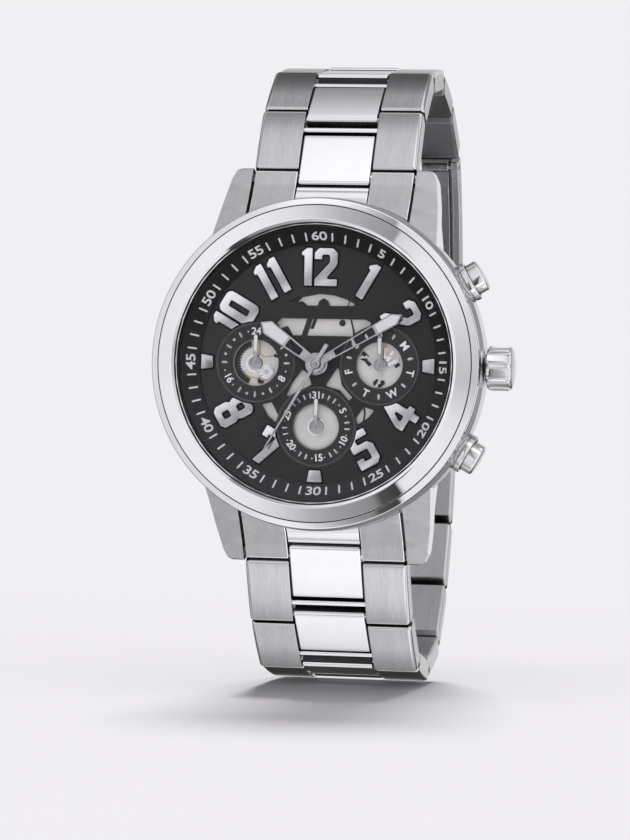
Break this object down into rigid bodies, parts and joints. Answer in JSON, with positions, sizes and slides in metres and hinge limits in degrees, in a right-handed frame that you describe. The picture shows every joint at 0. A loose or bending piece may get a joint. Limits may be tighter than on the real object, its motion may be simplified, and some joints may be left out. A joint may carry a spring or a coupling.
{
  "type": "wristwatch",
  "caption": "Round steel wristwatch with skeleton dial, small sub-dials, crown, pushers and a link bracelet closed by a folding clasp.",
  "frame": {"origin": "centre of the caseback's outer flat face", "axes": "+X towards 3 o'clock, +Z towards 12 o'clock, +Y from the dial to the wrist side, so the dial faces -Y"},
  "size_m": [0.0478, 0.0647, 0.0857],
  "materials": {
    "brushed_steel": "vertically brushed stainless steel with polished edges",
    "polished_steel": "mirror-polished stainless steel",
    "pin_steel": "bright drawn steel wire",
    "crystal_glass": "clear mineral glass",
    "gasket_rubber": "black seal",
    "dial_black": "matt charcoal paint",
    "ring_black": "satin black paint with white print",
    "movement_silver": "matt silver plate",
    "holder_plastic": "white moulded plastic",
    "battery_steel": "satin nickel-plated cell",
    "hand_polished": "polished hands with white luminous fill"
  },
  "bodies": {
    "case": {"case_body": "brushed_steel", "bezel": "polished_steel", "crystal_gasket": "gasket_rubber", "crystal": "crystal_glass", "chapter_ring": "ring_black", "caseback": "polished_steel", "caseback_gasket": "gasket_rubber", "dial_plate": "dial_black", "movement_plate": "movement_silver", "movement_body": "movement_silver", "battery": "battery_steel", "movement_holder": "holder_plastic", "crown_tube": "brushed_steel", "end_link_upper": "brushed_steel", "end_link_lower": "brushed_steel", "spring_bar_upper": "pin_steel", "spring_bar_lower": "pin_steel"},
    "winding_stem": {"crown_stem": "pin_steel"},
    "crown": {"crown": "polished_steel"},
    "pusher_upper": {"pusher_upper": "polished_steel"},
    "pusher_lower": {"pusher_lower": "polished_steel"},
    "hour_hand": {"hour_hand": "hand_polished"},
    "minute_hand": {"minute_hand": "hand_polished"},
    "second_hand": {"second_hand": "hand_polished"},
    "hour24_hand": {"hour24_hand": "hand_polished"},
    "day_hand": {"day_hand": "hand_polished"},
    "date_hand": {"date_hand": "hand_polished"},
    "upper_link_1": {"upper_link_1": "brushed_steel", "upper_link_pin_1": "pin_steel"},
    "upper_link_2": {"upper_link_2": "brushed_steel", "upper_link_pin_2": "pin_steel"},
    "upper_link_3": {"upper_link_3": "brushed_steel", "upper_link_pin_3": "pin_steel"},
    "upper_link_4": {"upper_link_4": "brushed_steel", "upper_link_pin_4": "pin_steel"},
    "upper_link_5": {"upper_link_5": "brushed_steel", "upper_link_pin_5": "pin_steel"},
    "lower_link_1": {"lower_link_1": "brushed_steel", "lower_link_pin_1": "pin_steel"},
    "lower_link_2": {"lower_link_2": "brushed_steel", "lower_link_pin_2": "pin_steel"},
    "lower_link_3": {"lower_link_3": "brushed_steel", "lower_link_pin_3": "pin_steel"},
    "lower_link_4": {"lower_link_4": "brushed_steel", "lower_link_pin_4": "pin_steel"},
    "lower_link_5": {"lower_link_5": "brushed_steel", "lower_link_pin_5": "pin_steel"},
    "lower_link_6": {"lower_link_6": "brushed_steel", "lower_link_pin_6": "pin_steel"},
    "lower_link_7": {"lower_link_7": "brushed_steel"},
    "clasp_inner_blade": {"clasp_inner_blade": "brushed_steel", "clasp_fold_pin": "pin_steel"},
    "clasp_middle_blade": {"clasp_middle_blade": "brushed_steel"},
    "clasp_cover": {"clasp_cover": "brushed_steel", "clasp_cover_pin_left": "pin_steel", "clasp_cover_pin_right": "pin_steel", "clasp_spring_bar": "pin_steel"},
    "clasp_button_left": {"clasp_button_left": "polished_steel"},
    "clasp_button_right": {"clasp_button_right": "polished_steel"}
  },
  "joints": [
    {"name": "crown_pull", "type": "slide", "parent": "case", "child": "winding_stem", "axis": [1, 0, 0], "range_m": [0, 0.0012]},
    {"name": "crown_turn", "type": "hinge", "parent": "winding_stem", "child": "crown", "pos_m": [0.024, -0.0052, 0], "axis": [1, 0, 0], "continuous": true},
    {"name": "pusher_upper_press", "type": "slide", "parent": "case", "child": "pusher_upper", "axis": [-0.866, 0, -0.5], "range_m": [0, 0.001], "stiffness_N_per_m": 300, "springref_m": -0.001},
    {"name": "pusher_lower_press", "type": "slide", "parent": "case", "child": "pusher_lower", "axis": [-0.866, 0, 0.5], "range_m": [0, 0.001], "stiffness_N_per_m": 300, "springref_m": -0.001},
    {"name": "minute_turn", "type": "hinge", "parent": "case", "child": "minute_hand", "pos_m": [0, -0.0096, 0], "axis": [0, 1, 0], "continuous": true},
    {"name": "hour_turn", "type": "hinge", "parent": "case", "child": "hour_hand", "pos_m": [0, -0.0092, 0], "axis": [0, 1, 0], "continuous": true},
    {"name": "hour24_turn", "type": "hinge", "parent": "case", "child": "hour24_hand", "pos_m": [-0.00825, -0.0087, 0], "axis": [0, 1, 0], "continuous": true},
    {"name": "second_turn", "type": "hinge", "parent": "case", "child": "second_hand", "pos_m": [0, -0.0101, 0], "axis": [0, 1, 0], "continuous": true},
    {"name": "day_turn", "type": "hinge", "parent": "case", "child": "day_hand", "pos_m": [0.00825, -0.0087, 0], "axis": [0, 1, 0], "continuous": true},
    {"name": "date_turn", "type": "hinge", "parent": "case", "child": "date_hand", "pos_m": [0, -0.0087, -0.00825], "axis": [0, 1, 0], "continuous": true},
    {"name": "upper_hinge_1", "type": "hinge", "parent": "case", "child": "upper_link_1", "pos_m": [0, 0.0025, 0.0247], "axis": [1, 0, 0], "range_deg": [0, 8]},
    {"name": "upper_hinge_2", "type": "hinge", "parent": "upper_link_1", "child": "upper_link_2", "pos_m": [0, 0.0078, 0.03318], "axis": [1, 0, 0], "range_deg": [0, 24]},
    {"name": "upper_hinge_3", "type": "hinge", "parent": "upper_link_2", "child": "upper_link_3", "pos_m": [0, 0.01579, 0.0392], "axis": [1, 0, 0], "range_deg": [0, 31]},
    {"name": "upper_hinge_4", "type": "hinge", "parent": "upper_link_3", "child": "upper_link_4", "pos_m": [0, 0.02566, 0.04076], "axis": [1, 0, 0], "range_deg": [0, 28]},
    {"name": "upper_hinge_5", "type": "hinge", "parent": "upper_link_4", "child": "upper_link_5", "pos_m": [0, 0.03528, 0.03801], "axis": [1, 0, 0], "range_deg": [0, 19]},
    {"name": "clasp_end_hinge", "type": "hinge", "parent": "upper_link_5", "child": "clasp_inner_blade", "pos_m": [0, 0.04376, 0.03271], "axis": [1, 0, 0], "range_deg": [0, 31]},
    {"name": "lower_hinge_1", "type": "hinge", "parent": "case", "child": "lower_link_1", "pos_m": [0, 0.0025, -0.0247], "axis": [-1, 0, 0], "range_deg": [0, 8]},
    {"name": "lower_hinge_2", "type": "hinge", "parent": "lower_link_1", "child": "lower_link_2", "pos_m": [0, 0.0075, -0.03336], "axis": [-1, 0, 0], "range_deg": [0, 22]},
    {"name": "lower_hinge_3", "type": "hinge", "parent": "lower_link_2", "child": "lower_link_3", "pos_m": [0, 0.01505, -0.03992], "axis": [-1, 0, 0], "range_deg": [0, 33]},
    {"name": "lower_hinge_4", "type": "hinge", "parent": "lower_link_3", "child": "lower_link_4", "pos_m": [0, 0.02486, -0.04183], "axis": [-1, 0, 0], "range_deg": [0, 29]},
    {"name": "lower_hinge_5", "type": "hinge", "parent": "lower_link_4", "child": "lower_link_5", "pos_m": [0, 0.03452, -0.03924], "axis": [-1, 0, 0], "range_deg": [0, 35]},
    {"name": "lower_hinge_6", "type": "hinge", "parent": "lower_link_5", "child": "lower_link_6", "pos_m": [0, 0.04134, -0.03193], "axis": [-1, 0, 0], "range_deg": [0, 21]},
    {"name": "lower_hinge_7", "type": "hinge", "parent": "lower_link_6", "child": "lower_link_7", "pos_m": [0, 0.04557, -0.02286], "axis": [-1, 0, 0], "range_deg": [0, 16]},
    {"name": "clasp_fold_hinge", "type": "hinge", "parent": "clasp_inner_blade", "child": "clasp_middle_blade", "pos_m": [0, 0.04893, -0.00521], "axis": [-1, 0, 0], "range_deg": [0, 150]},
    {"name": "clasp_cover_hinge", "type": "hinge", "parent": "clasp_middle_blade", "child": "clasp_cover", "pos_m": [0, 0.04474, 0.02995], "axis": [1, 0, 0], "range_deg": [0, 150]},
    {"name": "clasp_button_left_press", "type": "slide", "parent": "clasp_cover", "child": "clasp_button_left", "axis": [1, 0, 0], "range_m": [0, 0.0006], "stiffness_N_per_m": 150, "springref_m": -0.001},
    {"name": "clasp_button_right_press", "type": "slide", "parent": "clasp_cover", "child": "clasp_button_right", "axis": [-1, 0, 0], "range_m": [0, 0.0006], "stiffness_N_per_m": 150, "springref_m": -0.001}
  ],
  "couplings": [
    {"joint": "hour_turn", "follows": "minute_turn", "ratio": 0.083333},
    {"joint": "hour24_turn", "follows": "minute_turn", "ratio": 0.041667},
    {"joint": "clasp_cover_hinge", "follows": "clasp_fold_hinge", "ratio": 1}
  ]
}
